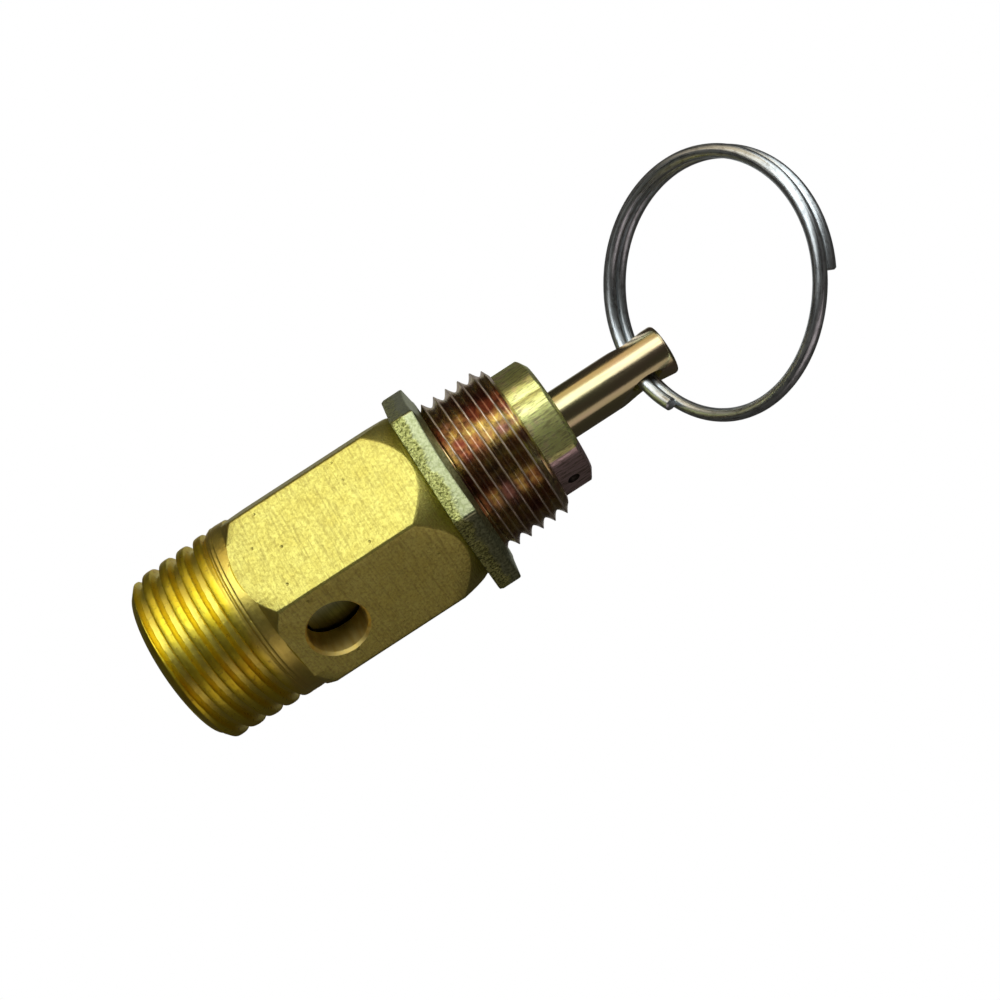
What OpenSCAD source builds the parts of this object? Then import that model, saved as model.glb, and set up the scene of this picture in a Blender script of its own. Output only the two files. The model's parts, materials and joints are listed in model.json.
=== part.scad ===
// Pressure relief valve with a male taper pipe thread, an adjusting screw and a pull ring.
// Millimetres. +Z runs up the valve's axis from the inlet end face, and one vent hole faces -Y.

/* [Body] */
// Width of the body's hexagon across its flats
body_flats = 13.1; // [12.9:0.05:13.6]
// Height of the body's top end above the inlet end face
body_top = 21.6; // [21.6:0.1:24]
// Height at which the hexagon starts, above the pipe thread's neck
hex_bottom = 8; // [7.8:0.1:8.2]
// Diameter of the turned top end
top_end_d = 12.96; // [12.8:0.02:13.2]
// Diameter of the inlet bore
inlet_d = 6.2; // [5:0.1:6.4]
// Diameter of the chamber that the disc holder slides in
chamber_d = 8.6; // [8.4:0.1:9]
// Diameter of each vent hole
vent_d = 4.3; // [3:0.1:4.4]
// Height of the vent holes' centres
vent_z = 11.3; // [11:0.1:11.6]

/* [Pipe thread] */
// Crest diameter at the inlet end of the 1/4 inch taper pipe thread
pipe_d = 13.1; // [13:0.05:13.25]
// Length of one turn, 18 threads to the inch
pipe_pitch = 1.411; // [1.3:0.001:1.5]
// Depth of the thread
pipe_depth = 0.7; // [0.5:0.05:0.9]

/* [Adjusting screw] */
// Diameter of the fine thread
fine_d = 12; // [11.8:0.1:12]
// Length of one turn of the fine thread
fine_pitch = 1; // [0.75:0.05:1.25]
// Height of the fine thread's upper end
fine_top = 29; // [28:0.1:30]
// Height of the screw's hexagon end
screw_top = 31.6; // [31:0.1:32.5]
// Width of the screw's hexagon across its flats
screw_flats = 8.8; // [8.4:0.1:9]
// Angle of one flat of the screw's hexagon
screw_turn = -7.2; // [-30:0.1:30]

/* [Lock nut] */
// Width of the lock nut across its flats
nut_flats = 14.1; // [13.9:0.1:14.6]
// Thickness of the lock nut
nut_h = 2; // [1.6:0.1:2.2]
// Diameter that the nut's corners are turned to
nut_corner_d = 16.2; // [15.6:0.1:16.2]
// Angle of one flat of the lock nut
nut_turn = -20; // [-30:0.5:30]

/* [Stem and ring] */
// Diameter of the stem outside the valve
stem_d = 3.8; // [3.4:0.05:4]
// Height of the stem's outer end
stem_top = 40.5; // [40:0.1:41.5]
// Height of the stem's cross hole
eye_z = 38.2; // [38:0.1:38.8]
// Diameter of the cross hole
eye_d = 2.3; // [2.3:0.05:2.4]
// Direction that the cross hole runs in
eye_turn = -53; // [-180:1:180]
// Outside diameter of the pull ring
ring_d = 18.2; // [18:0.1:20]
// Diameter of the ring's wire
wire_d = 0.95; // [0.9:0.01:0.98]
// Lean of the ring from straight out
ring_lean = 43.5; // [-90:0.5:90]

/* [Hidden] */
$fn = 64;

eps = 0.01;
past = 1;
// radial gap of a running fit
fit = 0.05;
// gap of a fit within one body
snug = 0.01;

// pipe thread
pipe_start = 0.5;
pipe_turns = 4;
neck_bottom = 6.5;
pipe_chamfer_r = 5.8;
pipe_taper = 1 / 32;

// angle of one flat of the body's hexagon, and the corners turned down to the foot and the top end
body_turn = 30;
flats_z = 7.5;
foot_corner_r = 6.95;
foot_rise = 1.6;
shoulder_z = 17.3;
band_z = 21.2;

// fine thread
fine_r = fine_d / 2;
fine_depth = 0.6 * fine_pitch;
screw_bottom = 16.4;
screw_corner_d = 9.9;
pocket_r = 4.4;
pocket_top = 26.6;

// stack inside the chamber, from the seat up to the spring
thread_bore_r = fine_r + fit;
thread_bore_z = 14.2;
chamber_z = 8.8;
seat_r = 3.7;
seat_z = 6.8;
lip_r = 2.7;
lip_z = 9.5;
orifice_r = 2.1;
seal_r = 3;
seal_h = 1.4;
seal_top = lip_z + seal_h;
washer_r = 1.6;
washer_h = 0.3;
bolt_r = 0.6;
bolt_top = 11.6;
head_r = 1.1;
head_h = 0.6;
holder_r = 4.1;
holder_z = 9.1;
holder_top = 14.2;
socket_z = 11.9;
socket_r = 2;
foot_r = 1.95;
foot_z = 12;
foot_h = 0.8;
snap_z = 12.85;
snap_h = 0.3;
snap_r = 2.4;
spindle_r = 1.5;
spindle_top = 25.5;
spring_washer_h = 0.5;
spring_z = holder_top + spring_washer_h;
spring_top = pocket_top - spring_washer_h;
spring_r = 3.1;
spring_wire_r = 0.42;
spring_turns = 7.5;

stem_r = stem_d / 2;
ring_r = (ring_d - wire_d) / 2;
layer_gap = 1;
// twist of the ring within the cross hole's clearance
ring_twist = 4.8;

// hexagonal bar with a flat facing +X
module hex_bar(flats, bottom, top) {
    rotate([0, 0, 30])
        translate([0, 0, bottom])
            cylinder(d = flats / cos(30), h = top - bottom, $fn = 6);
}

// upright cylinder from one height to another
module rod(r, bottom, top) {
    translate([0, 0, bottom]) cylinder(r = r, h = top - bottom);
}

// cone frustum from one height to another
module taper(r1, r2, bottom, top) {
    translate([0, 0, bottom]) cylinder(r1 = r1, r2 = r2, h = top - bottom);
}

// crest radius of the pipe thread at a height
function pipe_r(z) = pipe_d / 2 + z * pipe_taper;

// outline of a ridge with a flat crest, as [radius, height] points
function ridge(z, crest_r, depth, pitch, land) = [
    [crest_r - depth, z],
    [crest_r, z + (pitch - land) / 2],
    [crest_r, z + (pitch + land) / 2],
];

// turned outline of the whole body: pipe thread as separate ridges, neck, hexagon's corners, top end
module turned_bar() {
    land = 0.24 * pipe_pitch;
    corner_r = body_flats / 2 / cos(30) + past;
    foot = pipe_start - 0.3;
    ridges = [for (i = [0:pipe_turns - 1], p = ridge(foot + i * pipe_pitch,
        pipe_r(pipe_start + i * pipe_pitch), pipe_depth, pipe_pitch, land)) p];
    rotate_extrude()
        polygon(concat(
            [[0, 0], [pipe_chamfer_r, 0]],
            ridges,
            [[pipe_r(0) - pipe_depth / 2, foot + pipe_turns * pipe_pitch],
             [pipe_r(neck_bottom), neck_bottom], [pipe_r(neck_bottom), hex_bottom],
             [foot_corner_r, hex_bottom],
             [corner_r, hex_bottom + (corner_r - foot_corner_r) * foot_rise],
             [corner_r, shoulder_z], [top_end_d / 2 + 0.05, band_z],
             [top_end_d / 2, body_top], [0, body_top]]));
}

module valve_body() {
    color("goldenrod")
        difference() {
            intersection() {
                rotate([0, 0, body_turn / 2]) turned_bar();
                union() {
                    rod(body_flats, -past, flats_z);
                    rotate([0, 0, body_turn])
                        hex_bar(body_flats, flats_z - eps, body_top + past);
                }
            }
            rod(inlet_d / 2, -past, seat_z + eps);
            rod(seat_r, seat_z, chamber_z + eps);
            rod(chamber_d / 2, chamber_z, thread_bore_z + eps);
            rod(thread_bore_r, thread_bore_z, body_top + past);
            taper(thread_bore_r, thread_bore_r + 0.2, body_top - 0.2, body_top + eps);
            for (side = [0, 180])
                rotate([0, 0, side])
                    vent();
        }
}

// vent hole towards -Y, with its edge broken
module vent() {
    flat = body_flats / 2;
    translate([0, 0, vent_z]) {
        rotate([90, 0, 0])
            cylinder(d = vent_d, h = flat + past);
        translate([0, -flat + 0.2, 0])
            rotate([90, 0, 0])
                cylinder(r1 = vent_d / 2, r2 = vent_d / 2 + 0.25, h = 0.2 + eps);
    }
}

// seat nozzle with a raised lip
module valve_seat() {
    color("darkkhaki")
        difference() {
            union() {
                rod(seat_r - snug, seat_z, chamber_z);
                rod(lip_r, chamber_z, lip_z);
            }
            rod(orifice_r, seat_z - past, lip_z + past);
            taper(inlet_d / 2, orifice_r, seat_z - eps, seat_z + 1);
        }
}

module seal_disc() {
    color("dimgray")
        difference() {
            rod(seal_r, lip_z, seal_top);
            rod(bolt_r + snug, lip_z - past, seal_top + past);
        }
}

module seal_washer() {
    color("darkgoldenrod")
        difference() {
            rod(washer_r, lip_z - washer_h, lip_z);
            rod(bolt_r + snug, lip_z - past, lip_z + past);
        }
}

// slotted screw that holds the seal
module seal_screw() {
    head_z = lip_z - washer_h - head_h;
    color("silver")
        difference() {
            union() {
                rod(head_r, head_z, head_z + head_h);
                rod(bolt_r, head_z, bolt_top);
            }
            translate([-head_r - past, -0.15, head_z - past])
                cube([2 * head_r + 2 * past, 0.3, past + 0.3]);
        }
}

module disc_holder() {
    color("olive")
        difference() {
            union() {
                taper(holder_r - 0.3, holder_r, holder_z, holder_z + 0.3);
                rod(holder_r, holder_z + 0.3, holder_top);
            }
            rod(seal_r + snug, holder_z - past, seal_top);
            rod(bolt_r + snug, seal_top - eps, bolt_top + 0.1);
            rod(socket_r, socket_z, holder_top + past);
            rod(snap_r, snap_z, snap_z + snap_h);
        }
}

// split ring in the holder's groove, over the stem's foot
module stem_snap_ring() {
    color("slategray")
        difference() {
            rod(snap_r - snug, snap_z, snap_z + snap_h);
            rod(spindle_r + fit, snap_z - past, snap_z + past);
            translate([0, -0.6, snap_z - past])
                cube([snap_r + past, 1.2, 2 * past]);
        }
}

// flat washer at one end of the spring
module spring_washer(outer_r, hole_r, bottom) {
    difference() {
        rod(outer_r, bottom, bottom + spring_washer_h);
        rod(hole_r, bottom - past, bottom + past);
    }
}

module lower_spring_washer() {
    color("silver") spring_washer(4, spindle_r + 0.1, holder_top);
}

module upper_spring_washer() {
    color("silver") spring_washer(pocket_r - 0.15, stem_r + 0.1, spring_top);
}

// round wire wound about Z, where height(turn) gives the height of its centre
module coil(coil_r, wire_r, turns, height, sides = 8, per_turn = 16) {
    steps = round(turns * per_turn);
    function wire_point(i, j) =
        let (turn = turns * i / steps, a = 360 * turn, b = 360 * j / sides, r = coil_r + wire_r * cos(b))
        [r * cos(a), r * sin(a), height(turn) + wire_r * sin(b)];
    points = [for (i = [0:steps], j = [0:sides - 1]) wire_point(i, j)];
    walls = [for (i = [0:steps - 1], j = [0:sides - 1])
        let (k = (j + 1) % sides)
        [i * sides + j, (i + 1) * sides + j, (i + 1) * sides + k, i * sides + k]];
    caps = [[for (j = [0:sides - 1]) j],
            [for (j = [sides - 1:-1:0]) steps * sides + j]];
    polyhedron(points = points, faces = concat(walls, caps));
}

// compression spring with a closed turn at each end
module spring() {
    wire = 2 * spring_wire_r;
    live = spring_turns - 2;
    rise = spring_top - spring_z - 3 * wire;
    height = function(turn)
        spring_z + wire / 2 + wire * (min(turn, 1) + max(0, turn - live - 1))
        + rise * min(1, max(0, (turn - 1) / live));
    color("lightsteelblue")
        coil(spring_r, spring_wire_r, spring_turns, height);
}

module adjusting_screw() {
    land = 0.2 * fine_pitch;
    turns = floor((fine_top - screw_bottom) / fine_pitch);
    ridges = [for (i = [0:turns - 1], p = ridge(screw_bottom + 0.5 + i * fine_pitch - fine_pitch / 2,
        fine_r, fine_depth, fine_pitch, land)) p];
    color("saddlebrown")
        difference() {
            union() {
                rotate_extrude()
                    polygon(concat([[0, screw_bottom]], ridges,
                                   [[fine_r - fine_depth, fine_top], [0, fine_top]]));
                intersection() {
                    rotate([0, 0, screw_turn])
                        hex_bar(screw_flats, fine_top - eps, screw_top);
                    rotate_extrude()
                        polygon([[0, fine_top - eps], [screw_corner_d / 2, fine_top - eps],
                                 [screw_corner_d / 2, screw_top - 0.25],
                                 [screw_corner_d / 2 - 0.45, screw_top], [0, screw_top]]);
                }
            }
            rod(pocket_r, screw_bottom - past, pocket_top);
            rod(stem_r + fit, pocket_top - past, screw_top + past);
        }
}

module lock_nut() {
    top = body_top + nut_h;
    corner_r = nut_corner_d / 2;
    crown_r = fine_r + 0.4;
    color("darkkhaki")
        difference() {
            intersection() {
                rotate([0, 0, nut_turn])
                    hex_bar(nut_flats, body_top, top);
                rotate_extrude()
                    polygon([[0, body_top], [corner_r - 0.5, body_top], [corner_r, body_top + 0.5],
                             [corner_r, top - 0.7], [crown_r, top], [0, top]]);
            }
            rod(fine_r + fit, body_top - past, top + past);
            taper(fine_r + fit + 0.2, fine_r + fit, body_top - eps, body_top + 0.2);
            taper(fine_r + fit, fine_r + fit + 0.2, top - 0.2, top + eps);
        }
}

module lift_stem() {
    sink = 0.6;
    sink_r = 2.65;
    color("khaki")
        difference() {
            union() {
                rod(foot_r, foot_z, foot_z + foot_h);
                rod(spindle_r, foot_z, spindle_top + eps);
                rod(stem_r, spindle_top, stem_top - 0.25);
                taper(stem_r, stem_r - 0.25, stem_top - 0.25, stem_top);
            }
            translate([0, 0, eye_z])
                rotate([0, 90, eye_turn]) {
                    cylinder(d = eye_d, h = stem_d + 2 * past, center = true);
                    for (side = [0, 180])
                        rotate([side, 0, 0])
                            translate([0, 0, stem_r - sink])
                                cylinder(r1 = eye_d / 2, r2 = sink_r, h = sink + eps);
                }
        }
}

// double-wound ring about its own centre, with the cross hole at angle 0
module wound_ring() {
    first_end = -29;
    step_from = 221.5;
    step_to = 330.5;
    last_end = 574.5;
    height = function(turn)
        let (share = (360 * turn + first_end - step_from) / (step_to - step_from))
        -layer_gap / 2 * cos(180 * min(1, max(0, share)));
    rotate([0, 0, first_end])
        coil(ring_r, wire_d / 2, (last_end - first_end) / 360, height, sides = 12, per_turn = 60);
}

module pull_ring() {
    color("dimgray")
        translate([0, 0, eye_z])
            rotate([0, 0, eye_turn - 90])
                rotate([0, ring_lean - 90, 0])
                    rotate([ring_twist, 0, 180])
                        translate([-ring_r, 0, 0])
                            wound_ring();
}

valve_body();
valve_seat();
seal_disc();
seal_washer();
seal_screw();
disc_holder();
stem_snap_ring();
lower_spring_washer();
spring();
upper_spring_washer();
adjusting_screw();
lock_nut();
lift_stem();
pull_ring();
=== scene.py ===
import json
import math

import bmesh
import bpy
import numpy as np
from mathutils import Matrix, Vector


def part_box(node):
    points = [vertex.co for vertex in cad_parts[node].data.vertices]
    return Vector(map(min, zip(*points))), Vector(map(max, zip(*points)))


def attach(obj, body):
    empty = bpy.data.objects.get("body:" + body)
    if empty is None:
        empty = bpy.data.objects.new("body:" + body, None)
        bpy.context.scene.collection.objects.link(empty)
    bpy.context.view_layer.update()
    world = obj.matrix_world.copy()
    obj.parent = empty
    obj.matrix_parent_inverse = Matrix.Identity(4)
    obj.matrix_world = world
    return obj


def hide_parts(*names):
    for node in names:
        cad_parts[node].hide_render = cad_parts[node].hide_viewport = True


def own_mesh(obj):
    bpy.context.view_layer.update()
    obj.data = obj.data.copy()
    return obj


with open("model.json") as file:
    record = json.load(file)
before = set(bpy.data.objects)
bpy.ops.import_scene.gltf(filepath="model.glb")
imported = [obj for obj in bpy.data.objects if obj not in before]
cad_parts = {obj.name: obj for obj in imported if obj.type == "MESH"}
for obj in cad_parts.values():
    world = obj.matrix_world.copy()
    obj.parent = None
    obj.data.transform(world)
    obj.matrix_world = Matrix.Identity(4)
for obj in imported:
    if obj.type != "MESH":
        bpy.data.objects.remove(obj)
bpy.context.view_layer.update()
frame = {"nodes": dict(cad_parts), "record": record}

MM = 0.001


# ---------------------------------------------------------------- sizes, in millimetres and degrees
def span(node):
    """Lowest and highest height of a CAD node, in millimetres."""
    lo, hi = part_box(node)
    return lo[2] / MM, hi[2] / MM


BODY_TOP = span("valve_body")[1]
NUT_BOTTOM, NUT_TOP = span("lock_nut")
SCREW_BOTTOM, SCREW_TOP = span("adjusting_screw")
STEM_BOTTOM, STEM_TOP = span("lift_stem")
SPRING_BOTTOM, SPRING_TOP = span("spring")
JOINTS = {j["name"]: j for j in frame["record"]["behaviour"]["joints"]}
EYE_Z = JOINTS["ring_swing"]["pos_m"][2] / MM

# each hexagon's width across flats, and the direction of one flat's normal
BODY_FLATS, BODY_TURN = 13.1, 30
NUT_FLATS, NUT_TURN = 14.1, -20
SCREW_FLATS, SCREW_TURN = 8.8, -7.2
EYE_TURN = -53         # direction of the stem's cross hole
CREST_TURN = 142.8     # direction in which the threads' crest heights are given

PIPE_PITCH, PIPE_CREST_Z = 1.411, 1.55
FINE_PITCH, FINE_CREST_Z = 1.0, 0.95
FINE_TOP = 29.0        # outer end of the fine thread
FINE_R = 6.0           # over its crests
BORE_R = 6.05          # the body's and the nut's bores round it
SOFT = 0.05            # width of a broken edge


# ---------------------------------------------------------------- mesh tools
def smoothstep(lo, hi, x):
    t = np.clip((x - lo) / (hi - lo), 0, 1)
    return t * t * (3 - 2 * t)


def to_object(name, verts, faces, mats, face_mats=None, uvs=None):
    mesh = bpy.data.meshes.new(name)
    mesh.from_pydata(verts.tolist(), [], faces.tolist())
    for m in mats:
        mesh.materials.append(m)
    if face_mats is not None:
        mesh.polygons.foreach_set("material_index", np.asarray(face_mats, dtype=np.int32))
    if uvs is not None:
        layer = mesh.uv_layers.new(name="along")
        layer.data.foreach_set("uv", np.asarray(uvs, dtype=np.float32).ravel())
    obj = bpy.data.objects.new(name, mesh)
    bpy.context.scene.collection.objects.link(obj)
    return obj


def shade(mesh, sharp):
    """Smooth shading, with creases where faces meet at more than sharp degrees."""
    mesh.polygons.foreach_set("use_smooth", [True] * len(mesh.polygons))
    mesh.set_sharp_from_angle(angle=math.radians(sharp))


def clean(obj, sharp=33):
    """Merges points that coincide, drops faces without area and sets the shading."""
    merge = 1e-7
    bm = bmesh.new()
    bm.from_mesh(obj.data)
    bmesh.ops.remove_doubles(bm, verts=bm.verts, dist=merge)
    bmesh.ops.dissolve_degenerate(bm, edges=bm.edges, dist=merge)
    bm.to_mesh(obj.data)
    bm.free()
    shade(obj.data, sharp)


def grid_faces(rows, columns, closed):
    """Quads between rows of points that go round. The last row joins the first one if closed."""
    i = np.arange(rows if closed else rows - 1)[:, None]
    j = np.arange(columns)[None, :]
    up, over = (i + 1) % rows, (j + 1) % columns
    corners = (i * columns + j, i * columns + over, up * columns + over, up * columns + j)
    return np.stack(np.broadcast_arrays(*corners), -1).reshape(-1, 4)


def turned(name, theta, outline, mats, poles=False):
    """A closed mesh round the axis, from an outline of (r, z, steps, material) entries.

    r and z are one number, or one for each angle in theta. Each entry is joined to the one
    before it in so many steps. An entry of whole rows is taken as it is.
    """
    rows, row_mat = [], []
    for r, z, steps, mat in outline:
        if np.ndim(r) == 2:
            new = list(np.stack([r, z], 1))
        else:
            point = np.stack([np.broadcast_to(np.asarray(v, float), theta.shape) for v in (r, z)])
            last = rows[-1] if rows else None
            new = [point] if last is None else [
                last + (point - last) * (k / steps) for k in range(1, steps + 1)]
        rows += new
        row_mat += [mat] * len(new)
    r, z = np.array(rows).transpose(1, 0, 2)
    m, n = r.shape
    verts = np.stack([r * np.cos(theta), r * np.sin(theta), z], -1).reshape(-1, 3) * MM
    faces = grid_faces(m, n, not poles)
    face_mats = np.repeat([row_mat[(k + 1) % m] for k in range(len(faces) // n)], n)
    return to_object(name, verts, faces, mats, face_mats)


def off_flat(theta, turn):
    """Degrees between each angle and the normal of the hexagon's nearest flat."""
    return np.abs((np.degrees(theta) - turn + 30) % 60 - 30)


def corner_circle(flats, rho):
    """A rounded corner's centre, from the axis, and where it starts, in degrees off the normal."""
    centre = (flats / 2 - rho) / math.cos(math.radians(30))
    return centre, np.degrees(np.arctan(centre / 2 / (flats / 2)))


def hex_columns(turn, flats, rho, per_flat, marks=()):
    """Angles round a hexagon, in radians, with extra ones in its corners and beside the marks."""
    beside, least = 0.02, 0.012
    start = corner_circle(flats, rho)[1]
    offs = list(np.linspace(-start, start, per_flat + 1))
    offs += [s * a for s in (-1, 1) for a in np.linspace(start, 30, 5)[1:-1]] + [30.0]
    for a in marks:
        offs += [s * (a + d) for s in (-1, 1) for d in (-beside, beside)]
    offs = np.unique(np.round(offs, 4))
    keep = [offs[0]]
    for a in offs[1:]:
        if a - keep[-1] > least:
            keep.append(a)
    theta = np.concatenate([np.array(keep) + turn + 60 * k for k in range(6)])
    return np.radians(theta)


def hex_radius(theta, turn, flats, rho, bulge=0.0):
    """Radius at each angle of a hexagon with rounded corners, whose flats may bulge."""
    off = off_flat(theta, turn)
    centre, start = corner_circle(flats, rho)
    delta = np.radians(30 - off)
    flat = flats / 2 / np.cos(np.radians(off))
    corner = centre * np.cos(delta) + np.sqrt(np.maximum(rho ** 2 - (centre * np.sin(delta)) ** 2, 0))
    return np.where(off <= start, flat, corner) + bulge * (1 - (off / 30) ** 2)


def thread_fall(theta, z, pitch, crest_z, land, flank):
    """0 on the crest to 1 in the root of a right-hand thread, for rows of heights z."""
    turns = (np.degrees(theta)[None, :] - CREST_TURN) / 360
    u = (z[:, None] - crest_z) / pitch - turns
    d = np.abs(u - np.round(u)) * pitch
    return np.clip((d - land) / flank, 0, 1)


def swept(name, path, radius, sides, mats, across):
    """A round wire along a path of points, in millimetres, with softly broken flat ends."""
    tang = np.gradient(path, axis=0)
    tang /= np.linalg.norm(tang, axis=1)[:, None]
    side = np.cross(tang, np.broadcast_to(across, path.shape))
    side /= np.linalg.norm(side, axis=1)[:, None]
    other = np.cross(side, tang)
    edge = 0.12 * radius / 0.47
    points = path.copy()
    points[1], points[-2] = path[0] + tang[0] * edge, path[-1] - tang[-1] * edge
    for v in (side, other):
        v[1], v[-2] = v[0], v[-1]
    rad = np.full(len(points), radius)
    rad[0] = rad[-1] = radius - edge
    b = np.linspace(0, 2 * math.pi, sides, endpoint=False)[None, :, None]
    ring = points[:, None, :] + rad[:, None, None] * (np.cos(b) * side[:, None, :]
                                                      + np.sin(b) * other[:, None, :])
    length = np.concatenate([[0], np.cumsum(np.linalg.norm(np.diff(points, axis=0), axis=1))])
    v0 = np.arange(sides) / sides
    v1 = v0 + 1 / sides
    corners = ((length[:-1], v0), (length[:-1], v1), (length[1:], v1), (length[1:], v0))
    uvs = np.stack([np.stack(np.meshgrid(u, v, indexing="ij"), -1) for u, v in corners], 2)
    obj = to_object(name, ring.reshape(-1, 3) * MM, grid_faces(len(points), sides, False), mats,
                    uvs=uvs.reshape(-1, 2))
    bm = bmesh.new()
    bm.from_mesh(obj.data)
    bm.verts.ensure_lookup_table()
    for k, flip in ((0, False), (len(points) - 1, True)):
        loop = [bm.verts[k * sides + q] for q in range(sides)]
        bm.faces.new(loop if flip else loop[::-1])
    bmesh.ops.recalc_face_normals(bm, faces=bm.faces)
    bm.to_mesh(obj.data)
    bm.free()
    shade(obj.data, 40)
    return obj


def lathe_tool(name, outline, mats, sides=72):
    """A closed turned tool from (r, z) points between two poles."""
    offset = 0.011   # keeps the tool's edges off the piece's
    theta = np.linspace(0, 2 * math.pi, sides, endpoint=False) + offset
    obj = turned(name, theta, [(r, z, 1, 0) for r, z in outline], mats, poles=True)
    clean(obj)
    return obj


def cut(obj, tool, matrix):
    """Takes the tool's shape out of obj."""
    tool.data.transform(matrix)
    mod = obj.modifiers.new("cut", "BOOLEAN")
    mod.operation, mod.solver, mod.object = "DIFFERENCE", "EXACT", tool
    mod.material_mode = "TRANSFER"
    dg = bpy.context.evaluated_depsgraph_get()
    mesh = bpy.data.meshes.new_from_object(obj.evaluated_get(dg), depsgraph=dg)
    obj.modifiers.clear()
    old = obj.data
    obj.data = mesh
    bpy.data.meshes.remove(old)
    bpy.data.objects.remove(tool)


def spin(degrees, axis):
    return Matrix.Rotation(math.radians(degrees), 4, axis)


# ---------------------------------------------------------------- material tools
class Look:
    """A Principled material with a chain of bumps. Scales are waves to the millimetre.

    With coords set to UV, they are waves to the unit of the mesh's own UV map instead.
    """

    def __init__(self, name, metallic, coords="Object"):
        self.mat = bpy.data.materials.new(name)
        self.mat.use_nodes = True
        self.nt = self.mat.node_tree
        self.bsdf = self.nt.nodes["Principled BSDF"]
        self.bsdf.inputs["Metallic"].default_value = metallic
        self.coords = self.nt.nodes.new("ShaderNodeTexCoord").outputs[coords]
        self.unit = 1.0 if coords == "UV" else 1 / MM
        self.normal = None

    def link(self, a, b):
        self.nt.links.new(a, b)

    def mapped(self, scale=(1, 1, 1), turn=0):
        m = self.nt.nodes.new("ShaderNodeMapping")
        m.inputs["Scale"].default_value = scale
        m.inputs["Rotation"].default_value = (0, 0, -math.radians(turn))
        self.link(self.coords, m.inputs["Vector"])
        return m.outputs["Vector"]

    def texture(self, kind, scale):
        n = self.nt.nodes.new(kind)
        n.inputs["Scale"].default_value = 1
        self.link(self.mapped([s * self.unit for s in scale]), n.inputs["Vector"])
        return n

    def noise(self, scale, detail=3.0, rough=0.6, distortion=0.0):
        n = self.texture("ShaderNodeTexNoise", scale)
        n.inputs["Detail"].default_value = detail
        n.inputs["Roughness"].default_value = rough
        n.inputs["Distortion"].default_value = distortion
        return n.outputs["Fac"]

    def cells(self, scale):
        return self.texture("ShaderNodeTexVoronoi", scale).outputs["Distance"]

    def height(self):
        """Height along the valve's axis, in metres."""
        n = self.nt.nodes.new("ShaderNodeSeparateXYZ")
        self.link(self.coords, n.inputs["Vector"])
        return n.outputs["Z"]

    def radius(self):
        """Distance from the valve's axis, in metres."""
        n = self.nt.nodes.new("ShaderNodeVectorMath")
        n.operation = "LENGTH"
        self.link(self.mapped((1, 1, 0)), n.inputs[0])
        return n.outputs["Value"]

    def radial(self, turn):
        """0 to 1 round the valve's axis, with 0.5 in the direction turn."""
        g = self.nt.nodes.new("ShaderNodeTexGradient")
        g.gradient_type = "RADIAL"
        self.link(self.mapped(turn=turn), g.inputs["Vector"])
        return g.outputs["Fac"]

    def ranged(self, value, lo, hi, out_lo=0.0, out_hi=1.0):
        n = self.nt.nodes.new("ShaderNodeMapRange")
        n.inputs["From Min"].default_value = lo
        n.inputs["From Max"].default_value = hi
        n.inputs["To Min"].default_value = out_lo
        n.inputs["To Max"].default_value = out_hi
        self.link(value, n.inputs["Value"])
        return n.outputs["Result"]

    def maths(self, op, a, b):
        n = self.nt.nodes.new("ShaderNodeMath")
        n.operation = op
        for k, v in enumerate((a, b)):
            if isinstance(v, (int, float)):
                n.inputs[k].default_value = v
            else:
                self.link(v, n.inputs[k])
        return n.outputs["Value"]

    def ramp(self, value, stops):
        n = self.nt.nodes.new("ShaderNodeValToRGB")
        while len(n.color_ramp.elements) < len(stops):
            n.color_ramp.elements.new(0.5)
        for e, (pos, col) in zip(n.color_ramp.elements, stops):
            e.position = pos
            e.color = (*col, 1)
        self.link(value, n.inputs["Fac"])
        return n.outputs["Color"]

    def mix(self, fac, a, b):
        n = self.nt.nodes.new("ShaderNodeMix")
        n.data_type = "RGBA"
        for name, kind, v in (("Factor", "VALUE", fac), ("A", "RGBA", a), ("B", "RGBA", b)):
            sock = next(s for s in n.inputs if s.name == name and s.type == kind)
            if isinstance(v, tuple):
                sock.default_value = (*v, 1)
            else:
                self.link(v, sock)
        return next(s for s in n.outputs if s.type == "RGBA")

    def colour(self, value):
        self.link(value, self.bsdf.inputs["Base Color"])

    def roughness(self, value):
        self.link(value, self.bsdf.inputs["Roughness"])

    def bump(self, height, strength, depth):
        n = self.nt.nodes.new("ShaderNodeBump")
        n.inputs["Strength"].default_value = strength
        n.inputs["Distance"].default_value = depth * MM
        self.link(height, n.inputs["Height"])
        if self.normal is not None:
            self.link(self.normal, n.inputs["Normal"])
        self.normal = n.outputs["Normal"]
        self.link(self.normal, self.bsdf.inputs["Normal"])


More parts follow.
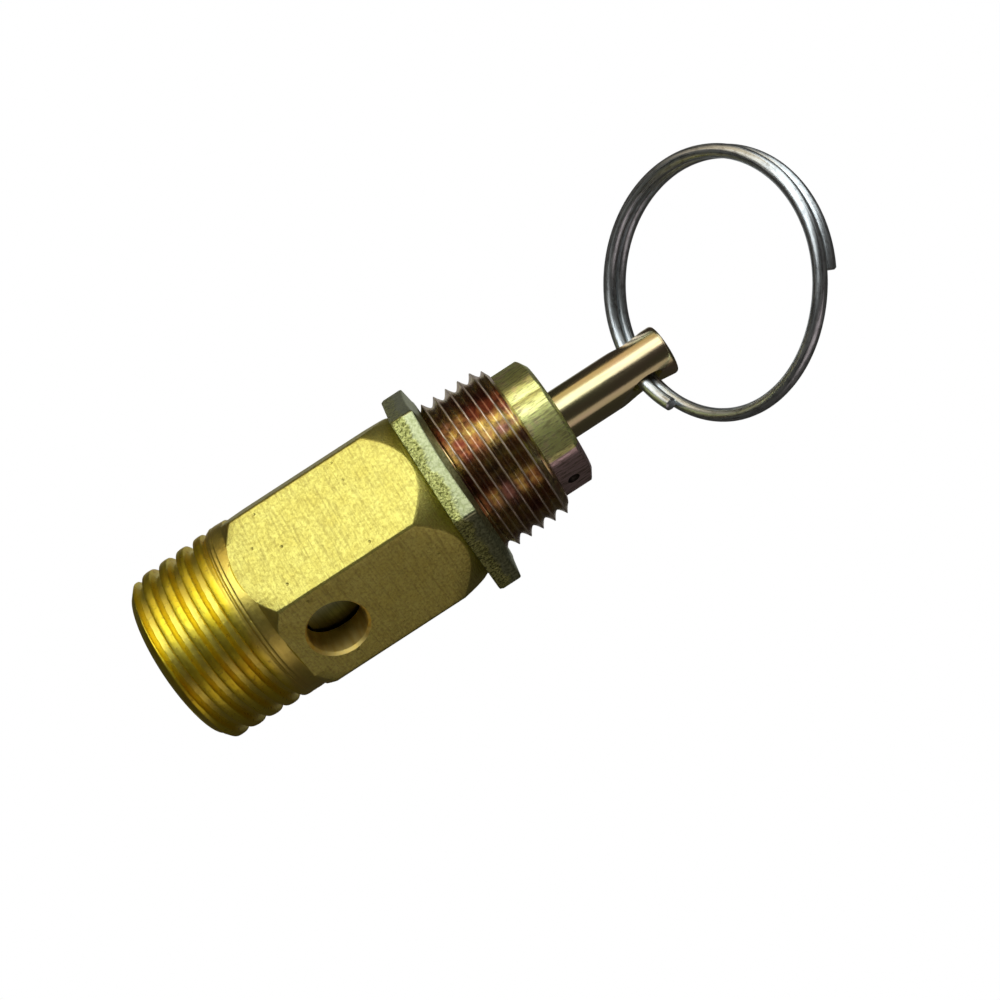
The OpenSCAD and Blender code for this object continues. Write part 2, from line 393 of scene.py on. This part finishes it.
def turned_brass():
    """Yellow brass with fine turning lines, a little dirt, a paler neck, and thread roots painted paler
    as a painted highlight.
    """
    k = Look("brass_turned", 1.0)
    rings = k.noise((0.12, 0.12, 9), 4)
    patch = k.noise((0.35, 0.35, 0.5))
    speck = k.noise((3.2, 3.2, 3.2))
    nicks = k.ranged(k.cells((0.8, 0.8, 2.6)), 0.12, 0.03)
    neck = k.ranged(k.height(), 6.1 * MM, 6.7 * MM)
    base = k.ramp(patch, [(0.3, (0.88, 0.62, 0.03)), (0.5, (0.95, 0.78, 0.045)),
                          (0.7, (0.99, 0.85, 0.10))])
    dirt = k.ranged(speck, 0.58, 0.70)
    # painted highlight: the thread's roots are painted paler, standing in for the glint in its grooves
    root = k.ranged(k.radius(), 6.3 * MM, 6.05 * MM, 0.0, 0.45)
    base = k.mix(k.maths("MULTIPLY", dirt, 0.45), base, (0.33, 0.20, 0.03))
    base = k.mix(root, base, (0.98, 0.92, 0.26))
    k.colour(k.mix(k.maths("MULTIPLY", neck, 0.6), base, (0.90, 0.76, 0.24)))
    k.roughness(k.maths("ADD", k.ranged(rings, 0.3, 0.7, 0.27, 0.41),
                        k.ranged(speck, 0.4, 0.75, 0.0, 0.12)))
    k.bump(rings, 0.4, 0.014)
    k.bump(speck, 0.5, 0.03)
    k.bump(nicks, 0.6, -0.03)
    return k.mat


def flat_brass(name, line_scale):
    """Paler, sandy brass with fine lines across the bar and small dents."""
    k = Look(name, 1.0)
    grain = k.noise((4.6, 4.6, 4.6), 5, 0.7)
    lines = k.noise((0.5, 0.5, line_scale))
    patch = k.noise((0.8, 0.8, 0.8), 4, 0.65)
    dents = k.ranged(k.cells((0.7, 0.7, 0.7)), 0.08, 0.02)
    base = k.ramp(patch, [(0.32, (0.76, 0.70, 0.16)), (0.68, (0.84, 0.81, 0.22))])
    base = k.mix(k.ranged(grain, 0.44, 0.62, 0.0, 0.55), base, (0.50, 0.42, 0.09))
    k.colour(k.mix(k.ranged(lines, 0.48, 0.68, 0.0, 0.4), base, (0.40, 0.32, 0.09)))
    k.roughness(k.maths("ADD", k.ranged(grain, 0.3, 0.7, 0.32, 0.46),
                        k.ranged(lines, 0.3, 0.7, -0.03, 0.05)))
    k.bump(lines, 0.45, 0.015)
    k.bump(grain, 0.9, 0.035)
    k.bump(dents, 0.8, -0.05)
    return k.mat


def bore_brass():
    """Brass with the marks that a drill leaves."""
    k = Look("brass_bore", 1.0)
    rings = k.noise((2.5, 0.3, 2.5))
    k.colour(k.ramp(rings, [(0.3, (0.88, 0.66, 0.16)), (0.7, (1.0, 0.84, 0.32))]))
    k.roughness(k.ranged(rings, 0.3, 0.7, 0.46, 0.6))
    k.bump(rings, 0.3, 0.02)
    return k.mat


def nut_plate():
    """Grey-green plating, smooth on the nut's outer part and coarse on its lower part."""
    k = Look("nut_plating", 1.0)
    border = (NUT_BOTTOM + 0.9) * MM
    waver = k.ranged(k.noise((0.8, 0.8, 0.8)), 0.3, 0.7, -0.3 * MM, 0.3 * MM)
    low = k.ranged(k.maths("ADD", k.height(), waver), border + 0.15 * MM, border - 0.15 * MM)
    pits = k.noise((7, 7, 4.5), 4, 0.75, 0.6)
    speck = k.noise((5, 5, 5))
    smooth = k.ramp(speck, [(0.38, (0.36, 0.41, 0.20)), (0.62, (0.62, 0.68, 0.40))])
    coarse = k.ramp(pits, [(0.42, (0.15, 0.17, 0.045)), (0.52, (0.62, 0.67, 0.22)),
                           (0.7, (0.84, 0.90, 0.38))])
    k.colour(k.mix(low, smooth, coarse))
    k.roughness(k.ranged(speck, 0.3, 0.7, 0.28, 0.44))
    k.bump(speck, 0.5, 0.03)
    k.bump(k.maths("MULTIPLY", low, pits), 0.9, 0.06)
    return k.mat


def thread_plate():
    """Dark plating with gold and copper tints, and crests painted pale as a painted highlight."""
    k = Look("thread_plating", 1.0)
    fine = k.noise((0.6, 0.6, 14))
    worn = k.noise((2.2, 2.2, 2.2))
    tint = k.noise((0.45, 0.45, 0.6))
    base = k.ramp(tint, [(0.38, (0.38, 0.18, 0.13)), (0.46, (0.56, 0.36, 0.20)),
                         (0.54, (0.74, 0.62, 0.27)), (0.64, (0.48, 0.32, 0.26))])
    base = k.mix(k.ranged(worn, 0.5, 0.68, 0.0, 0.75), base, (0.13, 0.09, 0.06))
    # painted highlight: the crests are painted pale, standing in for the glints along them
    crest = k.ranged(k.radius(), 5.87 * MM, 5.97 * MM, 0.0, 0.9)
    k.colour(k.mix(crest, base, (0.95, 0.86, 0.76)))
    k.roughness(k.maths("ADD", k.ranged(fine, 0.3, 0.7, 0.16, 0.30),
                        k.maths("MULTIPLY", crest, 0.28)))
    k.bump(fine, 0.3, 0.012)
    return k.mat


def screw_plate():
    """Lime and gold plating with streaks along the screw; one flat is purple-brown."""
    k = Look("screw_plating", 1.0)
    streak = k.noise((6.5, 6.5, 1.1), 4, 0.65)
    tint = k.noise((0.7, 0.7, 0.9))
    base = k.ramp(tint, [(0.36, (0.86, 0.90, 0.34)), (0.5, (0.92, 1.0, 0.38)),
                         (0.64, (0.98, 0.90, 0.46))])
    off, on = (0, 0, 0), (1, 1, 1)
    flat = k.ramp(k.radial(SCREW_TURN - 60), [(0.0, off), (0.415, off), (0.418, on),
                                              (0.582, on), (0.585, off), (1.0, off)])
    side = k.ranged(k.radius(), 4.24 * MM, 4.28 * MM)
    base = k.mix(k.mix(side, off, flat), base, (0.96, 0.74, 0.74))
    k.colour(k.mix(k.ranged(streak, 0.46, 0.60, 0.0, 0.6), base, (0.20, 0.17, 0.08)))
    k.roughness(k.ranged(streak, 0.3, 0.7, 0.34, 0.48))
    k.bump(streak, 0.5, 0.03)
    return k.mat


def stem_plate():
    """Smooth gold plating with long faint streaks."""
    k = Look("stem_plating", 1.0)
    along = k.noise((3.0, 3.0, 0.16))
    tint = k.noise((0.5, 0.5, 0.12), 2, 0.5)
    base = k.ramp(tint, [(0.38, (0.66, 0.64, 0.31)), (0.5, (0.72, 0.66, 0.37)),
                         (0.62, (0.80, 0.62, 0.42))])
    k.colour(k.mix(k.ranged(along, 0.5, 0.72, 0.0, 0.45), base, (0.42, 0.30, 0.14)))
    k.roughness(k.ranged(along, 0.3, 0.7, 0.14, 0.26))
    k.bump(along, 0.25, 0.015)
    return k.mat


def ring_steel():
    """Dark drawn wire. U is millimetres along it and V goes once round it."""
    k = Look("ring_steel", 1.0, coords="UV")
    streak = k.noise((0.35, 26, 1), 4)
    spot = k.noise((1.6, 9, 1))
    base = k.ramp(streak, [(0.3, (0.60, 0.68, 0.72)), (0.62, (0.90, 0.98, 1.0))])
    k.colour(k.mix(k.ranged(spot, 0.5, 0.7, 0.0, 0.55), base, (0.20, 0.21, 0.22)))
    k.roughness(k.ranged(streak, 0.3, 0.7, 0.22, 0.42))
    k.bump(streak, 0.35, 0.02)
    return k.mat


def inner_metal(name, low, high, roughness, turned_lines=True):
    k = Look(name, 1.0)
    lines = k.noise((0.2, 0.2, 8) if turned_lines else (3, 3, 3))
    k.colour(k.ramp(lines, [(0.3, low), (0.7, high)]))
    k.roughness(k.ranged(lines, 0.3, 0.7, roughness - 0.05, roughness + 0.08))
    k.bump(lines, 0.3, 0.012)
    return k.mat


def rubber():
    k = Look("seal_rubber", 0.0)
    grain = k.noise((6, 6, 6))
    k.colour(k.ramp(grain, [(0.3, (0.012, 0.012, 0.012)), (0.7, (0.03, 0.03, 0.03))]))
    k.roughness(k.ranged(grain, 0.3, 0.7, 0.5, 0.7))
    k.bump(grain, 0.4, 0.02)
    return k.mat


# ---------------------------------------------------------------- the pieces
def pipe_thread(theta):
    """Rows of radius and height for the tapered thread and the start of the neck."""
    thread_end, small_r, taper, full_z = 7.3, 6.55, 32, 6.4
    crown, root = 0.10, 0.56
    z = np.linspace(0, thread_end, 210)
    d = thread_fall(theta, z, PIPE_PITCH, PIPE_CREST_Z, 0, PIPE_PITCH / 2)
    groove = np.clip((d - 0.38) / 0.36, 0, 1)
    depth = crown * np.minimum(d / 0.72, 1) ** 2 + root * (0.5 - 0.5 * np.cos(math.pi * groove))
    fade = 1 - smoothstep(5.8, 6.9, z)[:, None]
    crest = (small_r + np.minimum(z, full_z) / taper)[:, None]
    chamfer = (5.85 + 1.1 * z)[:, None]
    r = np.minimum(crest - depth * fade, chamfer)
    for line_z in (6.72, 7.02):
        r = r - 0.05 * np.exp(-((z - line_z) / 0.06) ** 2)[:, None]
    return r, np.broadcast_to(z[:, None], r.shape)


def make_body(mats):
    turned_m, flat_m, bore_m, end_m = 0, 1, 2, 3
    rho, bar_r, neck_r = 0.3, 7.5, 6.72
    foot_r, foot_z, long_foot_z, foot_slope = 6.95, 8.0, 7.55, 1.6
    cone_r, cone_z, band_r, band_z = 8.563, 17.2, 6.53, 21.35   # the cone's line, end to end
    inlet_r, pocket_r, chamber_r = 3.1, 3.7, 4.3
    pocket_z, chamber_z, bore_z = 6.8, 8.8, 14.2
    marks = [math.degrees(math.acos(BODY_FLATS / 2 / r)) for r in (neck_r, foot_r)]
    theta = hex_columns(BODY_TURN, BODY_FLATS, rho, 32, marks)
    h = np.minimum(hex_radius(theta, BODY_TURN, BODY_FLATS, rho), bar_r)
    r_thread, z_thread = pipe_thread(theta)

    in_neck, past_foot = h < neck_r, h > foot_r
    reach = off_flat(theta, BODY_TURN) / marks[1]
    long_flat = np.cos(theta - math.radians(BODY_TURN + 180)) > 0.86
    arc = (foot_z - long_foot_z) * np.maximum(1 - reach ** 2, 0)
    z_start = np.where(long_flat, foot_z - arc, foot_z)
    r_start = np.minimum(h, foot_r)
    lip = 0.02 * in_neck
    z_foot = np.maximum(np.where(past_foot, foot_z + (h - foot_r) * foot_slope, z_start), z_start)
    slope = (band_z - cone_z) / (cone_r - band_r)
    z_cone = cone_z + (cone_r - h) * slope
    z_up = np.minimum(z_cone + SOFT, band_z - 0.01)
    r_up = band_r + (band_z - z_up) / slope
    outline = [
        (inlet_r, 0.3, 1, bore_m), (3.35, 0.0, 1, turned_m), (5.78, 0.0, 3, turned_m),
        (r_thread[1:], z_thread[1:], 0, turned_m),
        (neck_r, z_start - 0.03, 3, turned_m),
        (np.minimum(neck_r, r_start + 0.04), z_start, 1, turned_m),
        (r_start, z_start + lip, 1, turned_m),
        (np.where(past_foot, h - SOFT / foot_slope, r_start),
         np.maximum(z_foot - SOFT, z_start + lip), 3, turned_m),
        (h, z_foot + np.where(past_foot, SOFT, 0.01) + 0.02, 1, flat_m),
        (h, z_cone - SOFT, 10, flat_m), (r_up, z_up, 1, end_m), (band_r, band_z, 5, end_m),
        (6.5, 21.42, 1, end_m), (6.47, BODY_TOP - 0.1, 1, end_m), (6.39, BODY_TOP, 1, end_m),
        (6.25, BODY_TOP, 1, end_m), (BORE_R, BODY_TOP - 0.2, 1, bore_m),
        (BORE_R, bore_z, 6, bore_m), (chamber_r, bore_z, 1, bore_m),
        (chamber_r, chamber_z, 6, bore_m), (pocket_r, chamber_z, 1, bore_m),
        (pocket_r, pocket_z, 1, bore_m), (inlet_r, pocket_z, 1, bore_m),
    ]
    body = turned("brass_body", theta, outline, mats)
    clean(body)
    vent_z, vent = 11.3, [(0, 3.0), (2.08, 3.0), (2.08, 6.3), (2.10, 6.34), (2.26, 6.55),
                          (2.28, 7.6), (0, 7.6)]
    for side in (0, 180):
        place = spin(side, "Z") @ Matrix.Translation((0, 0, vent_z * MM)) @ spin(90, "X")
        cut(body, lathe_tool("vent_tool", vent, [mats[bore_m]]), place)
    clean(body)
    return body


def make_nut(mats):
    rho, corner_r, foot_r, crown_r = 0.3, 8.1, 7.95, 6.4
    shoulder, top_slope, foot_slope = 0.42, 0.12, 1.6
    theta = hex_columns(NUT_TURN, NUT_FLATS, rho, 24)
    h = np.minimum(hex_radius(theta, NUT_TURN, NUT_FLATS, rho), corner_r)
    past_foot = h > foot_r
    z_top = NUT_TOP - shoulder + np.maximum(h - NUT_FLATS / 2, 0) * top_slope
    z_bottom = NUT_BOTTOM + np.maximum(h - foot_r, 0) * foot_slope
    low_r = np.minimum(h, foot_r)
    outline = [
        (BORE_R, NUT_BOTTOM + 0.2, 1, 0), (BORE_R + 0.2, NUT_BOTTOM, 1, 0),
        (low_r - SOFT, NUT_BOTTOM, 4, 0),
        (np.where(past_foot, low_r + 0.02, h), NUT_BOTTOM + np.where(past_foot, 0.02, SOFT), 1, 0),
        (h, np.maximum(z_bottom + SOFT, NUT_BOTTOM + SOFT + 0.01), 1, 0),
        (h, z_top - 3 * SOFT, 10, 0), (h - 0.3 * SOFT, z_top - 1.4 * SOFT, 1, 0),
        (h - SOFT, z_top - 0.3 * SOFT, 1, 0), (h - 2 * SOFT, z_top + 0.35 * SOFT, 1, 0),
        (crown_r + 0.04, NUT_TOP - 0.01, 5, 0), (crown_r - 0.02, NUT_TOP, 1, 0),
        (BORE_R + 0.2, NUT_TOP, 1, 0), (BORE_R, NUT_TOP - 0.2, 1, 0),
    ]
    nut = turned("jam_nut", theta, outline, mats)
    clean(nut)
    return nut


def make_screw(mats):
    thread_m, hex_m, mark_shade_m = 0, 1, 2
    worn = np.array([0.9, 1.2, 0.15, 2.9, 0.9, 0.4])   # radius of each corner
    hollow, bulge, corner_r = 0.14, 0.3, 4.98
    end_r, end_slope, bore_r, cup_r, cup_z = 4.25, 0.6, 1.95, 4.4, 26.6
    seen_z, thread_end = 20.4, FINE_TOP + 0.03
    theta = hex_columns(SCREW_TURN, SCREW_FLATS, worn[0], 28, (22.0,))
    corner = np.floor((np.degrees(theta) - SCREW_TURN) / 60).astype(int) % 6
    h = np.minimum(hex_radius(theta, SCREW_TURN, SCREW_FLATS - hollow, worn[corner], bulge), corner_r)
    z = np.concatenate([np.linspace(SCREW_BOTTOM, seen_z, 45)[:-1],
                        np.linspace(seen_z, thread_end, 230)])
    d = thread_fall(theta, z, FINE_PITCH, FINE_CREST_Z, 0.02, 0.45)
    r = FINE_R - 0.58 * (1 - (1 - d) ** 1.35)
    r = np.minimum(r, (5.15 + (thread_end - z) * 2)[:, None])
    r = np.minimum(r, (5.3 + (z - SCREW_BOTTOM) * 1.2)[:, None])
    z_end = SCREW_TOP - np.maximum(h - end_r, 0) * end_slope
    outline = [
        (cup_r, SCREW_BOTTOM + 0.15, 1, thread_m), (4.6, SCREW_BOTTOM, 1, thread_m),
        (r, np.broadcast_to(z[:, None], r.shape), 0, thread_m),
        (h + SOFT, thread_end, 1, thread_m), (h, FINE_TOP + 0.1, 1, hex_m),
        (h, z_end - SOFT, 14, hex_m), (h - SOFT, z_end + SOFT * 0.4, 1, hex_m),
        (end_r, SCREW_TOP - 0.005, 2, hex_m), (4.2, SCREW_TOP, 1, hex_m), (2.1, SCREW_TOP, 4, hex_m),
        (bore_r, SCREW_TOP - 0.15, 1, hex_m), (bore_r, cup_z, 2, thread_m), (cup_r, cup_z, 1, thread_m),
    ]
    screw = turned("set_screw", theta, outline, mats)
    clean(screw)
    mark_r, mark_at = 0.52, (4.85 * MM, 0.34 * MM, 30.04 * MM)
    arc = [(mark_r * math.cos(a), mark_r * math.sin(a)) for a in np.radians(np.linspace(-75, 75, 11))]
    # the dimple's faces take the near-black material, painted shade
    dimple = lathe_tool("dimple_tool", [(0, -mark_r), *arc, (0, mark_r)], [mats[mark_shade_m]], 28)
    cut(screw, dimple, spin(SCREW_TURN - 60, "Z") @ Matrix.Translation(mark_at))
    clean(screw)
    return screw


def make_stem(mats):
    stem_r, foot_r, neck_r, neck_z = 1.9, 1.95, 1.5, 25.4
    foot, groove = STEM_BOTTOM, STEM_BOTTOM + 0.8
    theta = np.linspace(0, 2 * math.pi, 120, endpoint=False)
    stem = turned("lift_pin", theta, [
        (0, foot, 1, 0), (1.85, foot, 3, 0), (foot_r, foot + 0.1, 1, 0),
        (foot_r, foot + 0.7, 1, 0), (1.85, groove, 1, 0), (neck_r, groove, 1, 0),
        (neck_r, neck_z, 8, 0), (1.8, neck_z + 0.1, 1, 0), (stem_r, neck_z + 0.2, 1, 0),
        (stem_r, STEM_TOP - 0.25, 40, 0), (1.88, STEM_TOP - 0.16, 1, 0),
        (1.8, STEM_TOP - 0.05, 1, 0), (1.68, STEM_TOP, 1, 0), (0, STEM_TOP, 4, 0),
    ], mats, poles=True)
    clean(stem)
    eye = lathe_tool("eye_tool", [
        (0, -2.6), (1.9, -2.6), (1.75, -1.9), (1.22, -1.5), (1.15, -1.4), (1.15, 1.2),
        (1.22, 1.33), (2.65, 1.9), (3.6, 2.6), (0, 2.6)], mats)
    cut(stem, eye, Matrix.Translation((0, 0, EYE_Z * MM)) @ spin(EYE_TURN, "Z") @ spin(90, "Y"))
    clean(stem, 30)
    return stem


def make_ring(mats):
    outside, wire, gap, lean, twist = 18.2, 0.95, 1.0, 43.5, 4.8
    wire_r = 0.466   # a little less than half the wire, to stay inside the CAD's ring
    ring_r = (outside - wire) / 2
    first, last, step_from, step_to = -29.0, 574.5, 221.5, 330.5
    ang = np.linspace(first, last, 340)
    share = np.clip((ang - step_from) / (step_to - step_from), 0, 1)
    height = -gap / 2 * np.cos(math.pi * share)
    a = np.radians(ang)
    local = np.stack([ring_r * np.cos(a), ring_r * np.sin(a), height], -1)
    place = np.array(Matrix.Translation((0, 0, EYE_Z)) @ spin(EYE_TURN - 90, "Z")
                     @ spin(lean - 90, "Y") @ spin(180, "Z") @ spin(twist, "X")
                     @ Matrix.Translation((-ring_r, 0, 0)))
    path = local @ place[:3, :3].T + place[:3, 3]
    return swept("split_ring", path, wire_r, 24, mats, place[:3, 2])


def make_spring(mats):
    coil_r, wire_r, turns = 3.1, 0.41, 7.5
    closed = 0.84   # rise of a closed turn
    live = turns - 2
    t = np.linspace(0, turns, 360)
    rise = SPRING_TOP - SPRING_BOTTOM - 3 * closed
    z = SPRING_BOTTOM + closed / 2 + closed * (np.minimum(t, 1) + np.maximum(0, t - live - 1)) \
        + rise * np.clip((t - 1) / live, 0, 1)
    a = 2 * math.pi * t
    path = np.stack([coil_r * np.cos(a), coil_r * np.sin(a), z], -1)
    return swept("coil_spring", path, wire_r, 16, mats, np.array([0.0, 0.0, 1.0]))


brass = [turned_brass(), flat_brass("brass_flat", 7), bore_brass(), flat_brass("brass_end", 12)]
# the punch mark's material is painted almost black: painted shade in the dimple
plates = [thread_plate(), screw_plate(),
          inner_metal("punch_mark_painted_shade", (0.03, 0.026, 0.022), (0.09, 0.08, 0.07), 0.5)]
steel = inner_metal("spring_steel", (0.42, 0.43, 0.45), (0.62, 0.63, 0.66), 0.28, False)
# the disc holder's brass is painted very dark: painted shade inside the vent
holder_brass_painted_shade = inner_metal("holder_brass_painted_shade", (0.17, 0.19, 0.08), (0.26, 0.28, 0.12), 0.34)
washer_steel = inner_metal("washer_steel", (0.50, 0.50, 0.50), (0.66, 0.66, 0.68), 0.3)
seat_brass = inner_metal("seat_brass", (0.66, 0.50, 0.14), (0.80, 0.64, 0.22), 0.25)
rubber_m = rubber()

made = {
    "valve_body": (make_body(brass), "body"),
    "lock_nut": (make_nut([nut_plate()]), "nut"),
    "adjusting_screw": (make_screw(plates), "screw"),
    "lift_stem": (make_stem([stem_plate()]), "stem"),
    "pull_ring": (make_ring([ring_steel()]), "ring"),
    "spring": (make_spring([steel]), "plunger"),
}
for node, (piece, body) in made.items():
    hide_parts(node)
    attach(piece, body)
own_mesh(made["spring"][0])

for node, mat in {"valve_seat": seat_brass, "seal_disc": rubber_m, "seal_washer": seat_brass,
                  "seal_screw": washer_steel, "disc_holder": holder_brass_painted_shade, "stem_snap_ring": steel,
                  "lower_spring_washer": washer_steel, "upper_spring_washer": washer_steel}.items():
    for s in frame["nodes"][node].material_slots:
        s.material = mat

# ---------------------------------------------------------------- camera, light and floor
TOWARD = Vector((-0.6046, -0.7965, 0))   # from the valve's axis to the camera
SIDE = Vector((0.7965, -0.6046, 0))
UP = Vector((0, 0, 1))
ROLL = math.radians(33)
CAMERA_AWAY, LOOK_SIDE, LOOK_Z = 93.7, 2.64, 24.96
LIGHT_Z = 25                             # height that every light points at

cam = bpy.data.objects.new("camera", bpy.data.cameras.new("camera"))
cam.data.lens, cam.data.sensor_width = 47.9, 36
cam.data.clip_start, cam.data.clip_end = 0.005, 5
right = UP * math.cos(ROLL) + SIDE * math.sin(ROLL)
top = UP * math.sin(ROLL) - SIDE * math.cos(ROLL)
axes = Matrix((right, top, TOWARD)).transposed().to_4x4()
look_at = SIDE * LOOK_SIDE * MM + UP * LOOK_Z * MM
cam.matrix_world = Matrix.Translation(look_at + TOWARD * CAMERA_AWAY * MM) @ axes
bpy.context.scene.collection.objects.link(cam)
bpy.context.scene.camera = cam


def softbox(name, alpha, z, away, width, length, radiance, colour=(1, 1, 1)):
    """An area light at height z, away from the valve's axis, alpha degrees round from TOWARD.

    Sizes are in millimetres.
    """
    data = bpy.data.lights.new(name, "AREA")
    data.shape, data.size, data.size_y = "RECTANGLE", width * MM, length * MM
    data.energy = radiance * math.pi * width * length * MM * MM
    data.color = colour
    obj = bpy.data.objects.new(name, data)
    a = math.radians(alpha)
    pos = (TOWARD * math.cos(a) + SIDE * math.sin(a)) * away * MM + UP * z * MM
    back = (pos - UP * LIGHT_Z * MM).normalized()
    x = UP.cross(back).normalized()
    obj.matrix_world = Matrix.Translation(pos) @ Matrix((x, back.cross(x), back)).transposed().to_4x4()
    obj.visible_camera = False
    bpy.context.scene.collection.objects.link(obj)


softbox("key", -41, LIGHT_Z, 160, 110, 200, 1.85)
softbox("side", -74, LIGHT_Z, 160, 78, 200, 0.72, (1.0, 0.76, 0.48))
softbox("end", -59, 150, 110, 120, 100, 1.3)
softbox("low", 54, LIGHT_Z, 160, 76, 190, 0.44, (1.0, 0.80, 0.80))
softbox("back", -170, 30, 200, 150, 200, 0.33)

# the background is white to the camera and dim and warm to everything else
world = bpy.data.worlds.new("studio")
bpy.context.scene.world = world
world.use_nodes = True
wt = world.node_tree
dim = wt.nodes["Background"]
dim.inputs["Color"].default_value = (1, 0.9, 0.8, 1)
dim.inputs["Strength"].default_value = 0.034
white = wt.nodes.new("ShaderNodeBackground")
white.inputs["Color"].default_value = (1, 1, 1, 1)
white.inputs["Strength"].default_value = 1.0
rays = wt.nodes.new("ShaderNodeLightPath")
mixer = wt.nodes.new("ShaderNodeMixShader")
wt.links.new(rays.outputs["Is Camera Ray"], mixer.inputs[0])
wt.links.new(dim.outputs[0], mixer.inputs[1])
wt.links.new(white.outputs[0], mixer.inputs[2])
wt.links.new(mixer.outputs[0], wt.nodes["World Output"].inputs["Surface"])

FLOOR_R, FLOOR_Z = 70, -60
pale = Look("pale_floor", 0.0)
pale.bsdf.inputs["Roughness"].default_value = 0.6
pale.bsdf.inputs["Emission Color"].default_value = (1, 1, 1, 1)
pale.bsdf.inputs["Emission Strength"].default_value = 0.55
pale.colour(pale.ramp(pale.noise((0.06, 0.06, 0.06), 2, 0.55), [(0.3, (0.86, 0.86, 0.85)),
                                                                (0.7, (0.89, 0.89, 0.88))]))
bm = bmesh.new()
bmesh.ops.create_circle(bm, cap_ends=True, segments=96, radius=FLOOR_R * MM)
floor_mesh = bpy.data.meshes.new("floor")
bm.to_mesh(floor_mesh)
bm.free()
floor_mesh.materials.append(pale.mat)
floor = bpy.data.objects.new("floor", floor_mesh)
floor.location = (0, 0, FLOOR_Z * MM)
floor.visible_glossy = False
bpy.context.scene.collection.objects.link(floor)

bpy.context.scene.view_settings.view_transform = "Standard"
bpy.context.scene.view_settings.look = "None"

bpy.context.view_layer.update()
